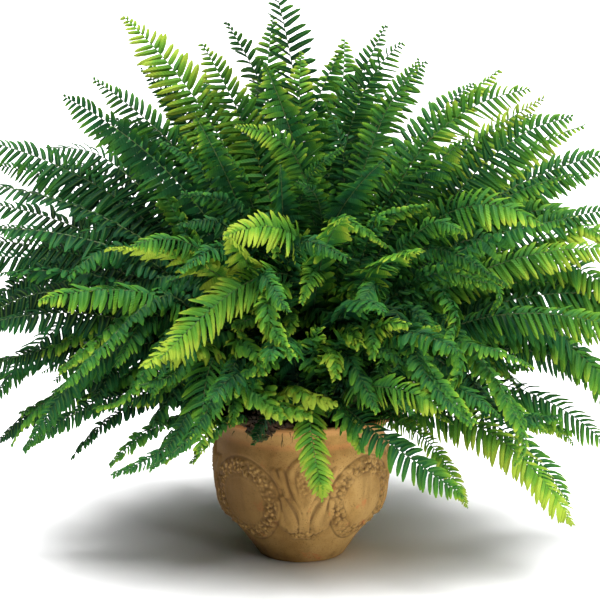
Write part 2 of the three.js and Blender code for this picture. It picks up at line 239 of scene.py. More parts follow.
RELIEF_HIGH = 0.122
RELIEF_ROWS = 96
RELIEF_MIDDLE = 0.071
RELIEF_RADIUS = 0.082
RELIEF_CELL = 0.0005
REPEATS = 4
WREATH_RADIUS = 0.0335
WREATH_HALF_WIDTH = 0.0072
WREATH_TALLER = 1.05
WREATH_ROWS = [(0.0290, 28), (0.0335, 31), (0.0380, 35)]
WREATH_BAND = 0.0007
THREAD_RADIUS, THREAD_WIDTH, THREAD_RISE = 0.0235, 0.0011, 0.0006
GROOVE_RADIUS, GROOVE_WIDTH, GROOVE_DEPTH = 0.0425, 0.0013, 0.0009
BUD_TURN = 0.033
BUD_BERRIES = (0.028, 0.007, 0.019)
FOOT_BERRIES = (-0.033, 0.014, 0.006)
HOLLOW_DEPTH = 0.0009
RELIEF_RISE = 0.0028
HAND_WOBBLE = 0.0009
HAND_LUMPS = 22
NECK_LINE = 0.1285
CLAY = (0.262, 0.143, 0.035)
CLAY_PALE = (0.400, 0.240, 0.074)
CLAY_RED = (0.430, 0.150, 0.047)
CLAY_DARK = (0.078, 0.038, 0.010)
CLAY_PAINTED_SHADE = (0.066, 0.029, 0.003)


def along_line(points, steps):
    """Places on a smooth line through the points, this many to each span."""
    padded = [points[0], *points, points[-1]]
    places = []
    for a, b, c, d in zip(padded, padded[1:], padded[2:], padded[3:]):
        for step in range(steps):
            t = step / steps
            places.append(tuple(
                0.5 * (2 * q + (r - p) * t + (2 * p - 5 * q + 4 * r - s) * t ** 2
                       + (3 * q - p - 3 * r + s) * t ** 3)
                for p, q, r, s in zip(a, b, c, d)
            ))
    return [*places, points[-1]]


outer_places = along_line(OUTER_LINE, 40)
outer_radii = [radius for radius, height in outer_places]
outer_heights = [height for radius, height in outer_places]


def inner_radius(height):
    """The wall's inner radius at a height."""
    return float(np.interp(height, outer_heights, outer_radii)) - POT_WALL


def placed(name, mesh):
    """A new object of this mesh, active and alone in the selection."""
    made = bpy.data.objects.new(name, mesh)
    bpy.context.collection.objects.link(made)
    bpy.ops.object.select_all(action="DESELECT")
    bpy.context.view_layer.objects.active = made
    made.select_set(True)
    return made


def spun(name, profile, columns):
    """A closed turned body of a line from its foot's middle round to its inner floor's middle."""
    mesh = bpy.data.meshes.new(name)
    line = [(radius, 0.0, height) for radius, height in profile]
    mesh.from_pydata(line, [(i, i + 1) for i in range(len(line) - 1)], [])
    made = placed(name, mesh)
    bpy.ops.object.mode_set(mode="EDIT")
    bpy.ops.mesh.select_all(action="SELECT")
    bpy.ops.mesh.spin(steps=columns, angle=2 * math.pi, center=(0, 0, 0), axis=(0, 0, 1))
    bpy.ops.mesh.select_all(action="SELECT")
    bpy.ops.mesh.remove_doubles(threshold=1e-6)
    bpy.ops.mesh.normals_make_consistent(inside=False)
    bpy.ops.object.mode_set(mode="OBJECT")
    return made


foot_rows = list(np.linspace(FOOT_EDGE, RELIEF_LOW, FOOT_ROWS))[:-1]
relief_rows = list(np.linspace(RELIEF_LOW, RELIEF_HIGH, RELIEF_ROWS))
neck_rows = list(np.linspace(RELIEF_HIGH, NECK_END, NECK_ROWS))[1:]
outside = [
    (float(np.interp(height, outer_heights, outer_radii)), height)
    for height in foot_rows + relief_rows + neck_rows
]
inside = [(inner_radius(height), height) for height in INNER_HEIGHTS]
pot = spun("clay_pot", [
    (0, 0), (0.030, 0), (0.0425, 0), (0.0440, 0.0006), *outside, *LIP_LINE, *inside,
    (POT_FLOOR_RADIUS, POT_FLOOR), (0, POT_FLOOR),
], POT_COLUMNS)

# The ornament as heights over the wall, on a map of a quarter of the pot with a bud in its middle
repeat = 2 * math.pi / REPEATS * RELIEF_RADIUS
map_columns = round(repeat / RELIEF_CELL)
map_rows = round((RELIEF_HIGH - RELIEF_LOW) / RELIEF_CELL)
across = (np.arange(map_columns) + 0.5) * repeat / map_columns - repeat / 2
upward = (np.arange(map_rows) + 0.5) * RELIEF_CELL + RELIEF_LOW - RELIEF_MIDDLE
across, upward = np.meshgrid(across, upward, indexing="ij")
relief = np.zeros_like(across)


def pressed(u, w, radius, height):
    """A round bump of the mould, at u to the right of the bud's middle and w above it."""
    aside = (across - u + repeat / 2) % repeat - repeat / 2
    far = (aside ** 2 + (upward - w) ** 2) / radius ** 2
    np.maximum(relief, height * np.sqrt(np.clip(1 - far, 0, 1)), out=relief)


def pressed_stem(points, radii, height):
    """A rounded stem along these places in millimetres, and its mirror image left of the bud."""
    places = along_line(points, 10)
    for i, (u, w) in enumerate(places):
        radius = 0.001 * (radii[0] + (radii[1] - radii[0]) * i / len(places))
        for side in (1, -1):
            pressed(side * 0.001 * u, 0.001 * w, radius, height)


mould = random.Random(3)
from_wreath = np.hypot(repeat / 2 - np.abs(across), upward / WREATH_TALLER)
ring = np.clip(1 - ((from_wreath - WREATH_RADIUS) / WREATH_HALF_WIDTH) ** 2, 0, 1)
thread = np.exp(-((from_wreath - THREAD_RADIUS) / THREAD_WIDTH) ** 2)
groove = np.exp(-((from_wreath - GROOVE_RADIUS) / GROOVE_WIDTH) ** 2)
relief[:] = np.maximum(WREATH_BAND * ring, THREAD_RISE * thread)
for radius, count in WREATH_ROWS:
    for bead in range(count):
        turn = 2 * math.pi * (bead + mould.uniform(-0.35, 0.35)) / count
        out = radius + mould.uniform(-0.0012, 0.0012)
        pressed(
            repeat / 2 + out * math.cos(turn), WREATH_TALLER * out * math.sin(turn),
            mould.uniform(0.0017, 0.0030), mould.uniform(0.0015, 0.0036),
        )
# The bud's two broad petals, the chevrons between them, and the stem they narrow to
pressed_stem([(0, 45), (0, 33)], (3.0, 12.0), 0.0016)
pressed_stem([(0, 33), (0, -3)], (12.0, 3.0), 0.0016)
pressed_stem([(1, 48), (8, 43), (12, 34)], (2.0, 4.0), 0.0026)
pressed_stem([(12, 34), (11, 23), (6.5, 9), (1.5, -4)], (4.0, 1.8), 0.0026)
pressed_stem([(0, 37), (4, 33), (6, 28), (4, 12), (1, -2)], (1.3, 1.2), 0.0024)
pressed_stem([(0, -2), (0, -18), (0, -36)], (2.2, 2.8), 0.0022)
# The broad leaves beside the stem, which end in a knot of berries, and the wisps above them
pressed_stem([(21, 9), (17.5, 0), (15, -8), (13, -16), (13, -21)], (2.4, 7.6), 0.0030)
pressed_stem([(25, 4), (24, -6), (22, -14), (19, -22)], (3.5, 6.0), 0.0025)
pressed_stem([(10, 5), (5, -5), (3.5, -16), (4, -30)], (1.8, 2.0), 0.0017)
pressed_stem([(29, 36), (26, 29), (21, 22)], (2.6, 3.6), 0.0022)
pressed_stem([(22, 36), (20, 29), (18, 21), (16, 12)], (2.4, 3.2), 0.0026)
for berry in range(12):
    turn, out = mould.uniform(0, 2 * math.pi), 0.0045 * math.sqrt(mould.random())
    for side in (1, -1):
        pressed(
            side * (0.0145 + 1.2 * out * math.cos(turn)), -0.0255 + 0.8 * out * math.sin(turn),
            mould.uniform(0.0016, 0.0024), mould.uniform(0.0030, 0.0042),
        )
# The berries in the bud, on its chevrons and at the foot
for u, w in [(0, 46), (2, 43), (-2, 43), (0, 37), (3, 34), (-3, 34), (5.5, 30), (-5.5, 30), (0, 29),
             (2.6, 26), (-2.6, 26), (0, 23), (1.8, 19), (-1.8, 19), (0, 15)]:
    pressed(0.001 * u, 0.001 * w, 0.0019, 0.0030)
for berry in range(44):
    pressed(
        mould.uniform(-0.014, 0.014), mould.uniform(-0.038, -0.027),
        mould.uniform(0.0015, 0.0027), mould.uniform(0.0016, 0.0032),
    )


def softened(heights, cells):
    """The map blurred, as the worn mould blurs it."""
    soft = heights
    for axis in (0, 1):
        soft = sum(np.roll(soft, shift, axis) for shift in range(-cells, cells + 1)) / (2 * cells + 1)
    return soft


def patch_of(middle, half_width, half_height):
    """1 on a soft-edged patch of berries, this far above the bud's middle, and 0 off it."""
    return np.exp(-((across / half_width) ** 2 + ((upward - middle) / half_height) ** 2) ** 2)


# Only the berries are still sharp
pebbles = np.maximum(ring ** 0.6, np.maximum(patch_of(*FOOT_BERRIES), 0.8 * patch_of(*BUD_BERRIES)))
sharp = 0.35 * softened(relief, 1) + 0.65 * relief
worn = 0.75 * softened(relief, 2) + 0.25 * relief
relief = worn + (sharp - worn) * pebbles - GROOVE_DEPTH * groove
# Painted shade: how far each place lies below the blurred relief, to darken the hollows of the ornament
# with
painted_recess_shade = np.clip((softened(softened(relief, 4), 4) - relief) / HOLLOW_DEPTH, 0, 1)


def map_at(table, angle, height):
    """What a map holds at an angle round the pot and a height."""
    turn = (angle + math.pi / 2 - BUD_TURN) * REPEATS / (2 * math.pi)
    column = ((turn - np.round(turn)) * repeat + repeat / 2) * map_columns / repeat - 0.5
    row = np.clip((height - RELIEF_LOW) / RELIEF_CELL - 0.5, 0, map_rows - 1.001)
    c, r = np.floor(column).astype(int), np.floor(row).astype(int)
    s, t = column - c, row - r
    near, far = table[c % map_columns], table[(c + 1) % map_columns]
    rows = np.arange(len(r))
    return (
        (1 - s) * ((1 - t) * near[rows, r] + t * near[rows, r + 1])
        + s * ((1 - t) * far[rows, r] + t * far[rows, r + 1])
    )


places = np.empty(len(pot.data.vertices) * 3)
pot.data.vertices.foreach_get("co", places)
places = places.reshape(-1, 3)
angle = np.arctan2(places[:, 1], places[:, 0])
radius = np.hypot(places[:, 0], places[:, 1])
height = places[:, 2]
wall = np.interp(height, outer_heights, outer_radii)
outer = (radius > wall - 0.001) & (height > RELIEF_LOW) & (height < RELIEF_HIGH)
stands = np.where(outer, map_at(relief, angle, height), 0.0)
recess_shade = np.where(outer, map_at(painted_recess_shade, angle, height), 0.0)
pebbled = np.where(outer, map_at(pebbles, angle, height), 0.0)
turned_by_hand = np.array([
    HAND_WOBBLE * noise.fractal(Vector(place) * HAND_LUMPS, 1.0, 2.0, 3) for place in places
])
grow = np.where(radius > 0.041, 1 + (stands + turned_by_hand) / np.maximum(radius, 0.01), 1.0)
places[:, 0] *= grow
places[:, 1] *= grow
pot.data.vertices.foreach_set("co", places.ravel())
stands = np.clip(stands / RELIEF_RISE, 0, 1)
for name, values in (("raised", stands), ("hollow", recess_shade), ("pebbled", pebbled)):
    pot.data.attributes.new(name, "FLOAT", "POINT").data.foreach_set("value", values)
pot.data.update()
bpy.ops.object.shade_smooth_by_angle(angle=math.radians(50))

clay_finish, pen = finish_of("weathered_clay_and_painted_light")
raised, hollow, pebbled = (pen.carried(name, "Fac") for name in ("raised", "hollow", "pebbled"))
place = pen.node("TexCoord", {}, "Object")
high, right = (pen.node("SeparateXYZ", {"Vector": place}, axis) for axis in "ZX")
beads = pen.node("TexVoronoi", {"Vector": place, "Scale": 250}, "Distance", feature="F1")
clouds = pen.grain(26, 4)
blotches = pen.grain(60, 4, 0.6)
speckle = pen.grain(700, 2, 0.6)
grit = pen.grain(1900, 2, 0.6)
streaks = pen.grain(70, 3, 0.55, (1.0, 1.0, 0.16))
from_neck = pen.node("Math", {0: high - NECK_LINE}, operation="ABSOLUTE")
neck_line = 1 - from_neck.step(0.0008, 0.0045)
under_rim = high.step(0.140, 0.150)
colour = clouds.step(0.35, 0.65).mixed(CLAY, CLAY_PALE)
colour = (0.30 * streaks.step(0.50, 0.75)).mixed(colour, CLAY_DARK)
colour = (0.45 * raised.step(0.5, 1.0) * blotches.step(0.35, 0.6)).mixed(colour, CLAY_PALE)
colour = (0.80 * blotches.step(0.60, 0.72)).mixed(colour, CLAY_RED)
colour = (0.30 * neck_line).mixed(colour, CLAY_RED)
# Painted shade: the left side of the pot is darkened, as if the light fell only from the right
colour = (0.80 * (0.035 - right).step(0.0, 0.11)).mixed(colour, CLAY_PAINTED_SHADE)
# Painted highlight on the middle of each bead of the wreaths and berry patches
colour = (0.80 * pebbled * (1 - beads).step(0.45, 0.90)).mixed(colour, CLAY_PALE)
# Painted shade in the hollows of the relief
colour = (0.72 * hollow.step(0.05, 0.85)).mixed(colour, CLAY_DARK)
# Painted shade in the crevices between those beads
colour = (0.70 * pebbled * beads.step(0.50, 0.85)).mixed(colour, CLAY_DARK)
colour = (0.35 * under_rim).mixed(colour, CLAY_RED)
colour = (0.65 * speckle.step(0.58, 0.70)).mixed(colour, CLAY_DARK)
rough = 0.5 * speckle + 0.25 * grit + 0.6 * blotches - 1.6 * pebbled * beads
surface(pen, colour, 0.78 + 0.16 * blotches, 0.28, rough.bumped(0.0014, 0.60))
pot.data.materials.append(clay_finish)
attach(pot, "root")
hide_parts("pot")


# The compost: dark peat with bark and grit, filled in loose to a finger below the rim and settled
# into a low dome. It was watered from above, so its top is lumpy.
SOIL_EDGE = 0.140
SOIL_DOME = 0.008
SOIL_GAP = 0.0007
SOIL_COLUMNS = 180
SOIL_RINGS = 44
SOIL_LUMPS = 0.0016
PEAT = (0.018, 0.011, 0.007)
PEAT_PALE = (0.060, 0.038, 0.022)
PEAT_MOSS = (0.030, 0.045, 0.012)

soil_radius = inner_radius(SOIL_EDGE) - SOIL_GAP
soil_wall = [(inner_radius(height) - SOIL_GAP, height) for height in reversed(INNER_HEIGHTS[2:])]
soil_top = [
    (soil_radius * share, SOIL_EDGE + SOIL_DOME * (1 - share ** 2))
    for share in np.linspace(1, 0, SOIL_RINGS)
]
soil = spun("compost", [
    (0, POT_FLOOR + SOIL_GAP / 2), (POT_FLOOR_RADIUS - SOIL_GAP, POT_FLOOR + SOIL_GAP / 2),
    *soil_wall, *soil_top,
], SOIL_COLUMNS)
for vertex in soil.data.vertices:
    out = math.hypot(vertex.co.x, vertex.co.y) / soil_radius
    if vertex.co.z > SOIL_EDGE + 0.0001 and out < 0.995:
        lumps = noise.fractal(vertex.co * 90, 1.0, 2.0, 4) + 0.5 * noise.noise(vertex.co * 420)
        vertex.co.z += SOIL_LUMPS * lumps * (1 - out ** 6)
bpy.ops.object.shade_smooth()

peat_finish, pen = finish_of("damp_peat")
crumb = pen.grain(420, 4, 0.65)
patch = pen.grain(45, 3)
colour = crumb.step(0.45, 0.75).mixed(PEAT, PEAT_PALE)
colour = (0.6 * patch.step(0.5, 0.68)).mixed(colour, PEAT_MOSS)
surface(pen, colour, 0.82 + 0.15 * crumb, 0.2, crumb.bumped(0.003, 0.8))
soil.data.materials.append(peat_finish)
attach(soil, "root")
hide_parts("soil")


# The moss and crumbs: a dark mat of moss, peat and fine roots that has grown out of the compost and
# over the rim at the front left, with crumbs of bark loose on the compost.
MAT_ANGLES = (math.radians(-133), math.radians(-92))
MAT_START = (0.078, 0.146)  # radius and height at its inner edge
MAT_RUN = (0.054, 0.020)  # how far it runs out and up from there towards the rim
MAT_LIP = (0.1055, 0.1565)
MAT_HANG = 0.034
MAT_PILE = 0.030
MAT_CRUMBS = 1100
LOOSE_CRUMBS = 260
LOOSE_RADIUS = 0.078
CRUMB_SIZES = (0.0012, 0.0034)
LOOSE_SIZES = (0.0010, 0.0026)
ROOTS = 9
ROOT_FROM = 0.1062
ROOT_LENGTHS = (0.006, 0.016)
ROOT_RADIUS = 0.00045
ROOT_STEPS = 6
MAT_DARK = (0.014, 0.010, 0.005)
MAT_BROWN = (0.050, 0.026, 0.012)
MAT_GREEN = (0.026, 0.046, 0.010)

bpy.ops.object.select_all(action="DESELECT")
bpy.ops.mesh.primitive_ico_sphere_add(subdivisions=1, radius=1.0, location=(0, 0, 0))
crumb = bpy.context.object
bpy.ops.object.mode_set(mode="EDIT")
bpy.ops.transform.resize(value=(1.0, 0.8, 0.65), center_override=(0, 0, 0))
bpy.ops.transform.vertex_random(offset=0.22, seed=4)
bpy.ops.object.mode_set(mode="OBJECT")
crumb_points = [vertex.co.copy() for vertex in crumb.data.vertices]
crumb_faces = [tuple(face.vertices) for face in crumb.data.polygons]
bpy.data.objects.remove(crumb)

litter = random.Random(8)
points, faces = [], []


def tube_faces(first, rows, sides):
    """The faces of a closed tube whose rings of points, foot first, start with this one."""
    faces = []
    for row in range(first, first + (rows - 1) * sides, sides):
        for k in range(sides):
            a, b = row + k, row + (k + 1) % sides
            faces.append((a, b, b + sides, a + sides))
    faces.append(tuple(first + k for k in reversed(range(sides))))
    faces.append(tuple(first + (rows - 1) * sides + k for k in range(sides)))
    return faces


def drop_crumb(at, size):
    """A crumb of this size, turned at random."""
    first = len(points)
    turn = Vector([litter.uniform(-1, 1) for _ in range(3)]).normalized().to_track_quat("Z", "Y")
    stretch = [size * litter.uniform(0.7, 1.3) for _ in range(3)]
    for point in crumb_points:
        shaped = Vector([point[k] * stretch[k] for k in range(3)])
        points.append(Vector(at) + turn @ shaped)
    faces.extend(tuple(first + k for k in face) for face in crumb_faces)


def trail_root(at, heading, length):
    """A fine root that starts here and droops."""
    place, heading = Vector(at), Vector(heading).normalized()
    for step in range(ROOT_STEPS):
        side = heading.cross(Vector((0.3, 0.1, 1))).normalized()
        other = heading.cross(side)
        radius = ROOT_RADIUS * (1.15 - step / ROOT_STEPS)
        points.extend((
            place + side * radius, place - side * radius / 2 + other * radius,
            place - side * radius / 2 - other * radius,
        ))
        place = place + heading * length / (ROOT_STEPS - 1)
        wander = Vector([litter.uniform(-0.45, 0.45) for _ in range(3)])
        heading = (heading + wander + Vector((0, 0, -0.35))).normalized()
    faces.extend(tube_faces(len(points) - 3 * ROOT_STEPS, ROOT_STEPS, 3))


for _ in range(MAT_CRUMBS):
    share = litter.random()
    middling = 1 - abs(2 * share - 1)
    angle = MAT_ANGLES[0] + share * (MAT_ANGLES[1] - MAT_ANGLES[0])
    over = litter.random() ** 1.3 * (0.35 + 0.65 * middling)
    if over < 0.5:
        out, up = MAT_START[0] + MAT_RUN[0] * over, MAT_START[1] + MAT_RUN[1] * over
    else:
        out, up = MAT_LIP[0] + 0.001 * litter.random(), MAT_LIP[1] - MAT_HANG * (over - 0.5)
    up += MAT_PILE * middling * litter.random() * (1 - over)
    place = (out * math.cos(angle), out * math.sin(angle), up)
    drop_crumb(place, litter.uniform(*CRUMB_SIZES))
for _ in range(LOOSE_CRUMBS):
    angle, out = litter.uniform(-math.pi, math.pi), LOOSE_RADIUS * math.sqrt(litter.random())
    up = SOIL_EDGE + SOIL_DOME * (1 - (out / soil_radius) ** 2) + 0.0006
    drop_crumb((out * math.cos(angle), out * math.sin(angle), up), litter.uniform(*LOOSE_SIZES))
for _ in range(ROOTS):
    angle = litter.uniform(*MAT_ANGLES)
    place = (ROOT_FROM * math.cos(angle), ROOT_FROM * math.sin(angle), litter.uniform(0.140, 0.156))
    heading = (math.cos(angle), math.sin(angle), litter.uniform(-0.8, 0.2))
    trail_root(place, heading, litter.uniform(*ROOT_LENGTHS))
mat_mesh = bpy.data.meshes.new("moss_and_crumbs")
mat_mesh.from_pydata([tuple(point) for point in points], [], faces)
moss = placed("moss_and_crumbs", mat_mesh)

mat_finish, pen = finish_of("moss_and_bark")
patch = pen.grain(150, 3)
fine = pen.grain(900, 3, 0.6)
colour = patch.step(0.42, 0.6).mixed(MAT_DARK, MAT_BROWN)
colour = (0.8 * pen.grain(75, 2).step(0.50, 0.62)).mixed(colour, MAT_GREEN)
surface(pen, colour, 0.75 + 0.2 * fine, 0.2, fine.bumped(0.001, 0.7))
moss.data.materials.append(mat_finish)
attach(moss, "root")


# The crowns: each is a short upright rhizome, clothed in brown scales, that was planted in the
# compost and carries two long fronds. A frond's leaflets stand alternately on its wiry rib.
LEAFLET_TABLE = [
    # along the leaflet, half width towards the frond's tip, half width towards its foot, height of
    # its midrib, each as a share of the leaflet's length or width
    (0.00, 0.22, 0.18, 0.12), (0.12, 0.56, 0.44, 0.22), (0.45, 0.50, 0.50, 0.25),
    (0.82, 0.38, 0.40, 0.17), (1.00, 0.12, 0.12, 0.05),
]
STUB_HEIGHT = 0.019
STUB_RADIUS = 0.0050
STUB_TAPER = 0.0016
STUB_ROWS, STUB_SIDES = 7, 10
STUB_WITHIN = (0.080, 0.137)  # the radius and height that only the stubs stay inside
FROND_CLEARED = 0.034
FROND_ROOT = 0.006
TANGENT_OVER = 0.004
RIB_EDGE = 0.0027
RIB_RADIUS = (0.00150, 0.0009, 0.0004)
RIB_SIDES = 4
RIB_STEP = 0.012
STIPE_SHARE = 0.13
LEAFLET_REACH = 0.065
LONGEST_LEAFLET = 0.0270
LEAFLET_PITCH = (0.0036, 0.165)  # between neighbours, and how much more for each metre that they reach
LEAFLET_DROOP = 0.30
LEAFLET_SICKLE = 0.10
OPEN_ABOVE = 0.39
FACE_OUT = 0.9
MIDDLE_HEIGHT = 0.20
# How young a frond is, from 0, dark and old, to 1, pale, with painted light and shade added: paler at
# the right, where the light falls, darker at the left, in painted shade, and paler towards the top
YOUTH = 0.28
PAINTED_LIGHT_TO_RIGHT, PAINTED_SHADE_TO_LEFT, PALER_UPWARD = 0.42, 0.44, 0.33
YOUTH_BY_CHANCE = 0.20
PAINTED_SHADE_FAR_LEFT, FAR_LEFT = -0.05, -0.24
YOUTH_MOST = 0.80
# The tips of single fronds that are young and bright, and how near and how much brighter that is
BRIGHT_NEAR, BRIGHTER = 0.06, 0.42
BRIGHT_TIPS = [
    (-0.078, -0.230, 0.371), (-0.174, -0.200, 0.346), (-0.140, -0.250, 0.249), (0.019, -0.194, 0.108),
    (0.257, -0.153, 0.073), (0.154, -0.164, 0.092), (0.234, -0.035, 0.465), (-0.328, 0.000, 0.424),
    (-0.239, -0.183, 0.332), (-0.123, -0.132, 0.102), (-0.161, -0.084, 0.086), (-0.181, 0.112, 0.538),
]

# One leaflet, drawn out of a triangle along +X, flat below and with a low midrib above
bpy.ops.object.select_all(action="DESELECT")
bpy.ops.mesh.primitive_circle_add(vertices=3, radius=0.5, fill_type="NGON", location=(0, 0, 0))
leaflet = bpy.context.object
bpy.ops.object.mode_set(mode="EDIT")
bpy.ops.transform.rotate(value=math.pi / 2, orient_axis="Y", center_override=(0, 0, 0))
for near, far in zip(LEAFLET_TABLE, LEAFLET_TABLE[1:]):
    step = far[0] - near[0]
    bpy.ops.mesh.extrude_region_move(TRANSFORM_OT_translate={"value": (step, 0, 0)})
bpy.ops.object.mode_set(mode="OBJECT")
leaflet_edge = []
for vertex in leaflet.data.vertices:
    x, y, z = vertex.co
    at, towards_tip, towards_foot, midrib = min(LEAFLET_TABLE, key=lambda row: abs(row[0] - abs(x)))
    leaflet_edge.append(1.0 if y > 0.1 or z < -0.1 else 0.0)
    if y > 0.1:
        vertex.co = (at, towards_tip, 0)
    elif z < -0.1:
        vertex.co = (at, -towards_foot, 0)
    else:
        vertex.co = (at, 0.5 * (towards_tip - towards_foot), midrib)
bpy.ops.object.mode_set(mode="EDIT")
bpy.ops.mesh.select_all(action="SELECT")
bpy.ops.mesh.normals_make_consistent(inside=False)
bpy.ops.object.mode_set(mode="OBJECT")
leaflet_points = np.array([tuple(vertex.co) for vertex in leaflet.data.vertices])
leaflet_faces = [tuple(face.vertices) for face in leaflet.data.polygons]
bpy.data.objects.remove(leaflet)

leaf_finish, pen = finish_of("fern_leaf")
leaf = pen.carried("leaf", "Color")
channels = ("Red", "Green", "Blue")
along, aside, youth_and_light = (pen.node("SeparateColor", {"Color": leaf}, out) for out in channels)
patch = pen.grain(30, 3)
mottle = pen.grain(420, 3, 0.6)
veins = pen.node("Math", {0: 58 * along - 7 * aside}, operation="SINE")
# The frond's painted light and shade come in with how young it is
age_and_light = youth_and_light + 0.34 * (along ** 1.5) - 0.10 + 0.12 * aside * along
age_and_light = age_and_light + 0.34 * (patch - 0.5) + 0.14 * (mottle - 0.5)
colour = pen.node("ValToRGB", {"Fac": age_and_light.held()}, "Color", stops=[
    (0.00, (0.001, 0.009, 0.004)), (0.25, (0.003, 0.028, 0.011)), (0.50, (0.009, 0.066, 0.015)),
    (0.72, (0.033, 0.124, 0.011)), (0.88, (0.094, 0.212, 0.015)), (1.00, (0.210, 0.290, 0.024)),
])
midrib = (1 - aside).step(0.55, 1.0) * (1 - along).step(0.0, 0.5)
colour = (0.18 * midrib).mixed(colour, (0.15, 0.31, 0.04))
colour = (0.16 * veins.step(0.2, 1.0)).mixed(colour, (0.008, 0.058, 0.007))
ribbed = (0.5 * veins + 0.7 * mottle).bumped(0.0004, 0.5)
surface(pen, colour, 0.44 + 0.22 * mottle, 0.08, ribbed)

stalk_finish, pen = finish_of("fern_rib")
fleck = pen.grain(260, 3, 0.6, (1.0, 1.0, 0.4))
colour = fleck.step(0.4, 0.65).mixed((0.034, 0.084, 0.013), (0.060, 0.075, 0.018))
surface(pen, colour, 0.5 + 0.2 * fleck, 0.5, fleck.bumped(0.0004, 0.5))

scale_finish, pen = finish_of("crown_scales")
scales = pen.grain(520, 3, 0.6, (1.0, 1.0, 0.35))
colour = scales.step(0.4, 0.7).mixed((0.040, 0.018, 0.008), (0.170, 0.090, 0.036))
surface(pen, colour, 0.7 + 0.2 * scales, 0.5, scales.bumped(0.0015, 0.8))


def leaflet_share(v, least, blunt):
    """The share of its full reach that a leaflet has, v of the way up the blade."""
    waking = 0.55 + 0.45 * math.sin(min(1.0, 4 * v) * math.pi / 2)
    tapering = 1 - max(0.0, (v - 0.45) / 0.55) ** blunt
    return waking * max(least, tapering)


def ribs_in(node):
    """The heart of a crown's solid, and its two ribs as lists of a place and the upper side there."""
    shape = bmesh.new()
    shape.from_mesh(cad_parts[node].data)
    bmesh.ops.remove_doubles(shape, verts=shape.verts, dist=1e-5)
    out, up = STUB_WITHIN
    foot = [v.co for v in shape.verts if math.hypot(v.co.x, v.co.y) < out and v.co.z < up]
    heart = sum(foot, Vector()) / len(foot)
    heart.z += STUB_HEIGHT
    near = [v for v in shape.verts if (v.co - heart).length < FROND_CLEARED]
    bmesh.ops.delete(shape, geom=near, context="VERTS")
    shape.verts.index_update()
    shape.edges.index_update()
    seen = set()
    ribs = []
    for first in shape.verts:
        if first.index in seen:
            continue
        seen.add(first.index)
        island = [first]
        for vertex in island:
            for edge in vertex.link_edges:
                other = edge.other_vert(vertex)
                if other.index not in seen:
                    seen.add(other.index)
                    island.append(other)
        edges = {edge.index: edge for vertex in island for edge in vertex.link_edges}
        short = [edge.verts for edge in edges.values() if edge.calc_length() < RIB_EDGE]
        stations = [((a.co + b.co) / 2, (a.co - b.co).normalized()) for a, b in short]
        if len(stations) < 4:
            continue
        rib = [min(stations, key=lambda station: (station[0] - heart).length)]
        stations.remove(rib[0])
        while stations:
            rib.append(min(stations, key=lambda station: (station[0] - rib[-1][0]).length))
            stations.remove(rib[-1])
        ribs.append(rib)
    shape.free()
    return heart, ribs


def run_of(line):
    """How far along a line each of its places is."""
    return np.concatenate([[0], np.cumsum(np.linalg.norm(np.diff(line, axis=0), axis=1))])


def rib_line(heart, rib):
    """A rib as close places from its foot in the crown to its tip, with the blade's upper side."""
    points = [station[0] for station in rib]
    uppers = [rib[0][1]]
    for _, upper in rib[1:]:
        uppers.append(upper if upper.dot(uppers[-1]) > 0 else -upper)
    middle = len(uppers) // 2
    if uppers[middle].z < -0.05 or (abs(uppers[middle].z) <= 0.05 and uppers[middle].y > 0):
        uppers = [-upper for upper in uppers]
    root = heart - Vector((0, 0, FROND_ROOT))
    leaving = points[1] - points[0]
    span = (points[0] - root).length
    handle = points[0] - leaving.normalized() * span * 0.45
    foot = [root, root.lerp(handle, 0.55).lerp(handle.lerp(points[0], 0.55), 0.55)]
    sides = [uppers[0], uppers[0], *uppers]
    line = np.array(along_line([tuple(knot) for knot in (*foot, *points)], 6))
    upper = np.array(along_line([tuple(side) for side in sides], 6))
    return line, upper, run_of(line)


def unit(vectors):
    """The vectors, each brought to length 1."""
    return vectors / np.maximum(np.linalg.norm(vectors, axis=-1, keepdims=True), 1e-9)


def vectors_at(where, gone, vectors):
    """What a line of vectors holds at these distances along it."""
    return np.stack([np.interp(where, gone, vectors[:, k]) for k in range(3)], axis=-1)


def blade_at(line, upper, gone, where):
    """Place, tangent, upper side and right side of the blade, at distances along its rib."""
    ahead, behind = (vectors_at(where + far, gone, line) for far in (TANGENT_OVER, -TANGENT_OVER))
    tangent = unit(ahead - behind)
    right = unit(np.cross(tangent, vectors_at(where, gone, upper)))
    return vectors_at(where, gone, line), tangent, np.cross(right, tangent), right


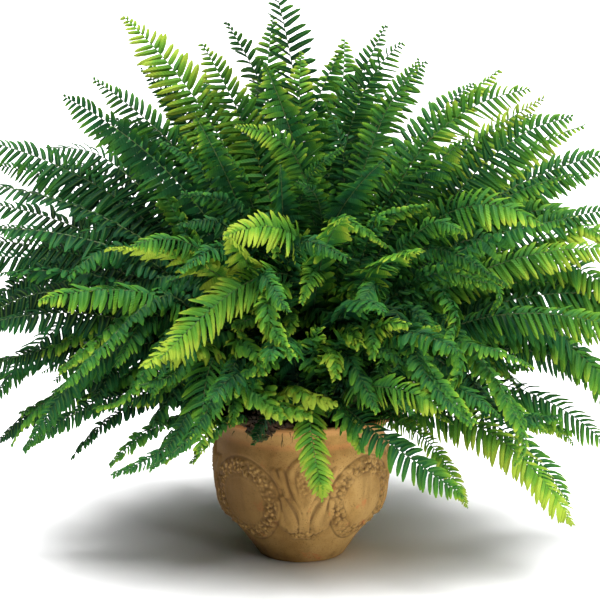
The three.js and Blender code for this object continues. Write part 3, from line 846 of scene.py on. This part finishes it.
def grow_frond(line, upper, gone, youth_and_light, luck, curl, longest, throat=STIPE_SHARE):
    """A frond's points, faces, leaf colours and materials, as arrays to be joined in one mesh."""
    length = gone[-1]
    least, blunt = 0.17 + 0.32 * max(0.0, curl - 0.2), luck.uniform(2.7, 5.5)
    crowding = 0.25 if line[-1, 2] > OPEN_ABOVE else 1.0
    pitch = (LEAFLET_PITCH[0] + LEAFLET_PITCH[1] * longest) * (1 - 0.15 * curl)
    pitch *= 1 - 0.9 * crowding * min(max(youth_and_light - 0.5, 0.0), 0.3)

    # Where its leaflets stand, by turns left and right
    stands = []
    where = throat * length
    while where < length - 0.0015:
        v = (where / length - throat) / (1 - throat)
        stands.append((where, v))
        where += 0.5 * pitch * (0.50 + 0.50 * leaflet_share(v, least, blunt))
    where, v = np.array(stands).T.copy()
    count = len(stands)
    side = np.where(np.arange(count) % 2 == 0, 1.0, -1.0)
    at, tangent, up, right = blade_at(line, upper, gone, where)

    # How far each reaches, how broad it is, and how it leans, sags and rolls
    shares = np.array([leaflet_share(x, least, blunt) for x in v])
    vary = np.array([[luck.uniform(-1, 1) for _ in range(6)] for _ in range(count)])
    twist = (luck.uniform(-0.5, 0.5) * v + 0.22 * np.sin(7 * v + luck.uniform(0, 6)))[:, None]
    right, up = right * np.cos(twist) + up * np.sin(twist), up * np.cos(twist) - right * np.sin(twist)
    reach = longest * shares
    reach = reach * (1 + 0.11 * vary[:, 0]) * (1 - 0.25 * curl * vary[:, 5] ** 2)
    full = 0.67 + 0.9 * crowding * min(max(youth_and_light - 0.40, 0.0), 0.4) + 0.8 * curl
    width = full * pitch * (0.35 + 0.65 * shares) * (1 + 0.10 * vary[:, 1])
    forward = 0.24 + 0.50 * v ** 2 + (0.12 + 0.3 * curl) * vary[:, 2]
    sag = luck.uniform(-0.12, 0.30) + (0.23 + 0.40 * curl) * vary[:, 3]
    out = unit(right * side[:, None] + tangent * forward[:, None] - up * sag[:, None])
    broad = unit(tangent - out * np.sum(tangent * out, axis=1, keepdims=True))
    face = np.cross(out, broad) * side[:, None]
    roll = (luck.uniform(0.15, 0.55) + 0.46 * vary[:, 4] + 0.7 * curl * vary[:, 5])[:, None]
    broad, face = broad * np.cos(roll) + face * np.sin(roll), face * np.cos(roll) - broad * np.sin(roll)

    # The leaflets themselves, sickle-shaped, drooping and waved
    x, y, z = (leaflet_points[None, :, k, None] for k in range(3))
    reach3, width3 = reach[:, None, None], width[:, None, None]
    wave = curl * 0.32 * width3 * np.sin(9 * x + 5 * vary[:, 0][:, None, None]) * np.abs(y) * 2
    points = (
        at[:, None]
        + out[:, None] * x * reach3
        + broad[:, None] * y * width3
        + tangent[:, None] * LEAFLET_SICKLE * reach3 * x ** 2
        + face[:, None] * (z * width3 + wave - (0.05 + 0.25 * curl) * reach3 * x ** 2)
    )
    droop = LEAFLET_DROOP * min(1.0, 1.4 - youth_and_light) + 0.08 * vary[:, 5]
    points[..., 2:] -= droop[:, None, None] * reach3 * x ** 2
    faces = []
    each = len(leaflet_points)
    for i in range(count):
        turn = 1 if side[i] > 0 else -1
        faces.extend(tuple(i * each + k for k in face_points[::turn]) for face_points in leaflet_faces)

    # What the leaf's material reads: how far along a leaflet, how near its edge, how young, with the
    # frond's painted light and shade
    leaf = np.empty((count, each, 4))
    leaf[..., 0] = leaflet_points[:, 0]
    leaf[..., 1] = leaflet_edge
    leaf[..., 2] = (youth_and_light - 0.14 + 0.38 * v ** 1.5 + 0.11 * vary[:, 5])[:, None]
    leaf[..., 3] = 1.0
    points = points.reshape(-1, 3)
    leaf = leaf.reshape(-1, 4)
    kinds = [0] * len(faces)

    # Its rib, a thin four-sided wire from the crown to the tip
    stations = max(8, round(length / RIB_STEP))
    where = np.linspace(0, length, stations)
    at, _, up, right = blade_at(line, upper, gone, where)
    radii = np.interp(where / length, [0, throat, 1], RIB_RADIUS) * min(1.0, 0.35 + 2.2 * length)
    turn = np.arange(RIB_SIDES) * 2 * math.pi / RIB_SIDES
    rings = (
        at[:, None]
        + up[:, None] * (np.cos(turn)[None, :, None] * radii[:, None, None])
        - right[:, None] * (np.sin(turn)[None, :, None] * radii[:, None, None])
    ).reshape(-1, 3)
    faces.extend(tube_faces(len(points), stations, RIB_SIDES))
    kinds += [1] * (len(faces) - len(kinds))
    plain = np.tile([0.0, 0.0, 0.4, 1.0], (len(rings), 1))
    return np.concatenate([points, rings]), faces, np.concatenate([leaf, plain]), kinds


def joined(name, parts):
    """One mesh object of several sets of points, faces, leaf colours and materials."""
    points, faces, leaf, kinds = [], [], [], []
    first = 0
    for part in parts:
        points.append(part[0])
        faces.extend(tuple(first + k for k in face) for face in part[1])
        leaf.append(part[2])
        kinds.extend(part[3])
        first += len(part[0])
    mesh = bpy.data.meshes.new(name)
    mesh.from_pydata(np.concatenate(points).tolist(), [], faces)
    mesh.attributes.new("leaf", "FLOAT_COLOR", "POINT").data.foreach_set(
        "color", np.concatenate(leaf).ravel(),
    )
    for finish in (leaf_finish, stalk_finish, scale_finish):
        mesh.materials.append(finish)
    mesh.polygons.foreach_set("material_index", kinds)
    mesh.update()
    made = placed(name, mesh)
    bpy.ops.object.shade_smooth_by_angle(angle=math.radians(42))
    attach(made, "root")
    return made


def rhizome(heart, luck):
    """The scaly stub itself, a lumpy taper from down in the compost to just over it."""
    points = []
    for i in range(STUB_ROWS):
        share = i / (STUB_ROWS - 1)
        for k in range(STUB_SIDES):
            turn = 2 * math.pi * (k + 0.5 * (i % 2)) / STUB_SIDES
            out = (STUB_RADIUS - STUB_TAPER * share) * (1 + 0.14 * luck.uniform(-1, 1))
            points.append((
                heart.x + out * math.cos(turn), heart.y + out * math.sin(turn),
                heart.z - STUB_HEIGHT + STUB_HEIGHT * share,
            ))
    faces = tube_faces(0, STUB_ROWS, STUB_SIDES)
    leaf = np.tile([0.0, 0.0, 0.2, 1.0], (len(points), 1))
    return np.array(points), faces, leaf, [2] * len(faces)


crown_names = sorted(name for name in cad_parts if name.startswith("crown_"))
growth = random.Random(17)
for node in crown_names:
    heart, ribs = ribs_in(node)
    parts = [rhizome(heart, growth)]
    for rib in ribs:
        line, upper, gone = rib_line(heart, rib)
        tip = Vector(line[-1])
        nearest = min((tip - Vector(bright)).length for bright in BRIGHT_TIPS)
        # Painted light at the right and painted shade at the left, added to how young the frond is
        youth_and_light = YOUTH + PAINTED_LIGHT_TO_RIGHT * tip.x + PAINTED_SHADE_TO_LEFT * min(tip.x + 0.1, 0.0)
        youth_and_light += YOUTH_BY_CHANCE * growth.uniform(-1, 1)
        youth_and_light += PALER_UPWARD * tip.z if tip.x > FAR_LEFT else PAINTED_SHADE_FAR_LEFT
        youth_and_light = min(youth_and_light + BRIGHTER * max(0.0, 1 - nearest / BRIGHT_NEAR), YOUTH_MOST)

        # Those in front curl, the middle ones most
        from_middle = math.hypot(tip.x, tip.z - MIDDLE_HEIGHT)
        inner = max(0.0, 1 - from_middle / 0.20) if tip.y < -0.05 else 0.0
        curl = 0.10 + 0.7 * inner + 0.25 * (tip.y < -0.12 and 0.20 < tip.z < 0.40)
        longest = min(LEAFLET_REACH * gone[-1], LONGEST_LEAFLET) * growth.uniform(0.86, 1.06)

        # Low at the left they are narrow and knobbly, low at the right broad, and over the pot short
        if tip.x < -0.05 and tip.z < 0.15:
            longest, youth_and_light, curl = 0.78 * longest, youth_and_light + 0.10, curl + 0.45
        if tip.x > 0.12 and tip.z < 0.12 and tip.y < 0:
            longest *= 1.22 if tip.x > 0.18 else 0.90
        elif 0.01 < tip.x < 0.16 and tip.z < 0.21 and tip.y < 0:
            longest *= 0.62

        # Those that hang in front show their faces, and the tallest are the broadest
        if tip.z < MIDDLE_HEIGHT and tip.y < -0.04:
            upper = unit(upper) + FACE_OUT * np.array((0.3 * tip.x, -0.9, 0.35))
        longest *= 1 + 2.6 * min(max(tip.z - 0.45, 0.0), 0.15)
        parts.append(grow_frond(line, upper, gone, youth_and_light, growth, curl, longest))
    made = joined("fern_" + node, parts)
    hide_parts(node)


# The arching fronds: younger ones from the same crowns, that grew up between the long ones and bow
# over them towards the light at the front, or hang past the rim. The table is in millimetres.
ARCHING_FRONDS = [
    # how young, with painted light, curl, greatest reach of a leaflet, then places from the crown to the
    # tip
    (0.62, 0.15, 17, (14, -30, 160), (14, -50, 314), (8, -80, 370), (-4, -100, 413),
     (-28, -120, 438), (-62, -140, 450)),
    (0.62, 0.20, 20, (10, 0, 160), (12, -30, 290), (14, -50, 368), (3, -70, 428), (-2, -80, 475),
     (0, -60, 512)),
    (0.74, 0.10, 21, (4, -30, 160), (4, -70, 270), (0, -120, 330), (-11, -170, 355),
     (-36, -200, 366), (-70, -220, 360)),
    (0.50, 0.10, 15, (-40, -30, 160), (-65, -70, 270), (-83, -110, 315), (-103, -150, 342),
     (-128, -180, 351), (-153, -200, 348)),
    (0.70, 0.08, 23, (6, -40, 160), (8, -70, 250), (-5, -120, 303), (-36, -170, 315),
     (-74, -210, 299), (-125, -240, 254)),
    (0.72, 0.70, 14, (-20, -50, 160), (-30, -130, 285), (-36, -160, 291), (-31, -180, 272),
     (-28, -190, 243)),
    (0.57, 0.10, 26, (40, -10, 160), (67, -40, 327), (92, -70, 385), (122, -90, 433),
     (166, -100, 466), (212, -110, 481)),
    (0.44, 0.12, 26, (50, -10, 160), (108, -30, 310), (147, -60, 374), (181, -80, 414),
     (214, -90, 440), (253, -100, 454)),
    (0.56, 0.12, 23, (40, -30, 160), (82, -70, 300), (118, -120, 354), (153, -160, 378),
     (188, -180, 379), (216, -190, 365)),
    (0.40, 0.10, 25, (20, 10, 160), (36, 0, 330), (42, -30, 414), (58, -40, 468), (79, -50, 503),
     (97, -50, 520)),
    (0.66, 0.25, 18, (30, -50, 155), (42, -120, 197), (58, -170, 212), (81, -210, 220),
     (104, -230, 218), (127, -240, 208)),
    (0.76, 0.14, 17, (0, -50, 155), (4, -110, 184), (7, -160, 188), (10, -183, 162), (20, -184, 109)),
    (0.46, 0.26, 18, (10, -50, 155), (22, -110, 184), (40, -155, 188), (71, -200, 173),
     (107, -220, 151), (147, -230, 124)),
    (0.58, 0.12, 24, (-40, -40, 155), (-66, -90, 215), (-78, -140, 236), (-87, -172, 222),
     (-91, -186, 190), (-94, -180, 150)),
]
ARCH_FACING = Vector((0.05, -0.86, 0.50))
BARE_SHARES = (0.32, 0.22)
BETWEEN_FRONDS = 116
BETWEEN_REACH = (0.25, 0.37)
BETWEEN_HIGHEST = 0.98
BETWEEN_LOWEST = -0.16


def in_metres(table):
    """The fronds of a table in millimetres."""
    return [
        (youth_and_light, curl, reach / 1000, *(tuple(part / 1000 for part in place) for place in places))
        for youth_and_light, curl, reach, *places in table
    ]


def heading_at(turn, rise):
    """The way a frond heads at this turn round the plant and this rise, and how level it is."""
    level = math.sqrt(1 - rise ** 2)
    return Vector((level * math.cos(turn), level * math.sin(turn), rise)), level


# Those between the long fronds spread evenly round and down. The low ones in front are left out, to
# keep the pot and the listed fronds in view.
arching = in_metres(ARCHING_FRONDS)
between = random.Random(41)
for number in range(BETWEEN_FRONDS):
    rise = BETWEEN_HIGHEST - (BETWEEN_HIGHEST - BETWEEN_LOWEST) * (number + 0.5) / BETWEEN_FRONDS
    turn = number * math.pi * (3 - math.sqrt(5)) + between.uniform(-0.2, 0.2)
    heading, level = heading_at(turn, rise)
    least_rise = 0.45 if -0.6 < heading.x < 0.15 else 0.10 if heading.x > 0 else -0.06
    if heading.y < -0.25 and rise < least_rise:
        continue
    near = heading.y < -0.3
    reach = between.uniform(*BETWEEN_REACH) * (0.84 if near else 1.0)
    reach += 0.05 * max(0.0, rise - 0.4)
    start = Vector((0.055 * heading.x, 0.055 * heading.y, 0.152))
    tip = Vector((0, 0, 0.150)) + heading * reach
    side = heading.cross(Vector((0, 0, 1))).normalized() * between.uniform(-0.035, 0.035)
    low = start.lerp(tip, 0.36) + side + Vector((0, 0, 0.02 + 0.20 * reach * level))
    high = start.lerp(tip, 0.72) + side + Vector((0, 0, 0.01 + 0.20 * reach * level))
    arching.append((
        # How young, with painted light at the right and painted shade at the left
        between.uniform(0.16, 0.46) + 0.42 * tip.x + 0.26 * min(tip.x + 0.1, 0.0),
        between.uniform(0.05, 0.40) + 0.35 * near,
        between.uniform(0.018, 0.025) * (0.66 if near else 1.0),
        tuple(start), tuple(low), tuple(high), tuple(tip),
    ))


def bowed(places, facing):
    """A young frond's line, through its places, with its face turned this way."""
    line = np.array(along_line(places, 8))
    ahead = unit(np.gradient(line, axis=0))
    facing = np.array(facing)
    return line, unit(facing[None] - ahead * (ahead @ facing)[:, None]), run_of(line)


for number, (youth_and_light, curl, reach, *places) in enumerate(arching, 1):
    outward = Vector((places[-1][0], places[-1][1], 0.0))
    line, upper, gone = bowed(places, ARCH_FACING + 1.5 * outward)
    throat = BARE_SHARES[number > len(ARCHING_FRONDS)]
    part = grow_frond(line, upper, gone, youth_and_light, growth, curl, reach, throat)
    joined(f"arching_frond_{number:02d}", [part])


# The crested fronds: the youngest, short and ruffled, that crowd the middle of the plant and spill
# over the front of the rim. Their leaflets are broad, curled and pale at the edge.
CRESTED_FRONDS = [
    # the same columns
    (0.62, 0.90, 16, (-10, -50, 155), (-38, -90, 205), (-59, -150, 227), (-52, -170, 214),
     (-31, -180, 199), (-16, -180, 183)),
    (0.66, 0.90, 15, (0, -50, 155), (-11, -90, 190), (-37, -150, 209), (-24, -175, 198),
     (9, -180, 187)),
    (0.84, 0.80, 13, (-10, -50, 155), (-21, -100, 184), (-9, -160, 208), (10, -180, 203),
     (33, -180, 199)),
    (0.52, 0.90, 18, (10, -50, 155), (16, -100, 204), (10, -160, 244), (15, -190, 272)),
    (0.58, 0.90, 17, (20, -50, 155), (27, -100, 199), (35, -160, 249), (44, -190, 267),
     (54, -205, 258)),
    (0.64, 0.90, 15, (20, -50, 155), (23, -100, 194), (26, -160, 242), (30, -195, 244),
     (31, -208, 228)),
    (0.62, 0.80, 15, (30, -50, 155), (47, -90, 207), (62, -150, 253), (80, -180, 273),
     (98, -190, 274)),
    (0.60, 0.70, 14, (40, -50, 155), (61, -90, 192), (77, -150, 237), (99, -180, 260),
     (125, -200, 275)),
    (0.60, 0.90, 15, (-20, -50, 155), (-30, -90, 205), (-59, -150, 247), (-43, -180, 248),
     (-36, -188, 228)),
    (0.58, 0.80, 15, (20, -50, 155), (30, -110, 185), (36, -160, 190), (48, -175, 172),
     (56, -172, 150)),
    (0.56, 0.85, 14, (-30, -50, 155), (-52, -110, 195), (-62, -140, 196), (-64, -158, 176)),
]
CRESTED_FILL = 84
CRESTED_SPREAD = (0.14, 0.27)
CRESTED_BARE = 0.25

# Most of the fill is in front, but off the moss on the rim and off the rim at the right.
crested = in_metres(CRESTED_FRONDS)
fill = random.Random(29)
for number in range(CRESTED_FILL):
    turn = math.radians(fill.uniform(-178, -2) if number % 4 else fill.uniform(0, 360))
    rise = fill.uniform(0.04, 0.92)
    heading, level = heading_at(turn, rise)
    reach = fill.uniform(*CRESTED_SPREAD)
    start = Vector((0.05 * heading.x, 0.05 * heading.y, 0.150))
    tip = Vector((0, -0.01, 0.150)) + heading * reach
    bow = Vector((fill.uniform(-0.03, 0.03), fill.uniform(-0.03, 0.03), 0.020 + 0.25 * reach * level))
    middle = start.lerp(tip, 0.55) + bow
    sideways = fill.uniform(-0.20, 0.20)
    onward = Vector((0.12 * heading.x + sideways, 0.12 * heading.y, -fill.uniform(0.0, 0.15)))
    droop = tip + reach * onward
    if -0.085 < droop.x < 0.005 and droop.y < -0.06 and droop.z < 0.205:
        continue
    if any(0.07 < at.x < 0.15 and at.y < 0.06 and at.z < 0.20 for at in (middle, tip, droop)):
        continue
    crested.append((
        fill.uniform(0.24, 0.60), fill.uniform(0.45, 0.95), fill.uniform(0.009, 0.015),
        tuple(start), tuple(start.lerp(middle, 0.55) + Vector((0, 0, 0.015))), tuple(middle),
        tuple(tip), tuple(droop),
    ))
for number, (youth_and_light, curl, reach, *places) in enumerate(crested, 1):
    facing = Vector((places[-1][0] * 1.5, places[-1][1] * 1.5 - 0.15, 0.25)).normalized()
    line, upper, gone = bowed(places, facing)
    part = grow_frond(line, upper, gone, youth_and_light, growth, curl, reach, CRESTED_BARE)
    joined(f"crested_frond_{number:02d}", [part])


low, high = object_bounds()
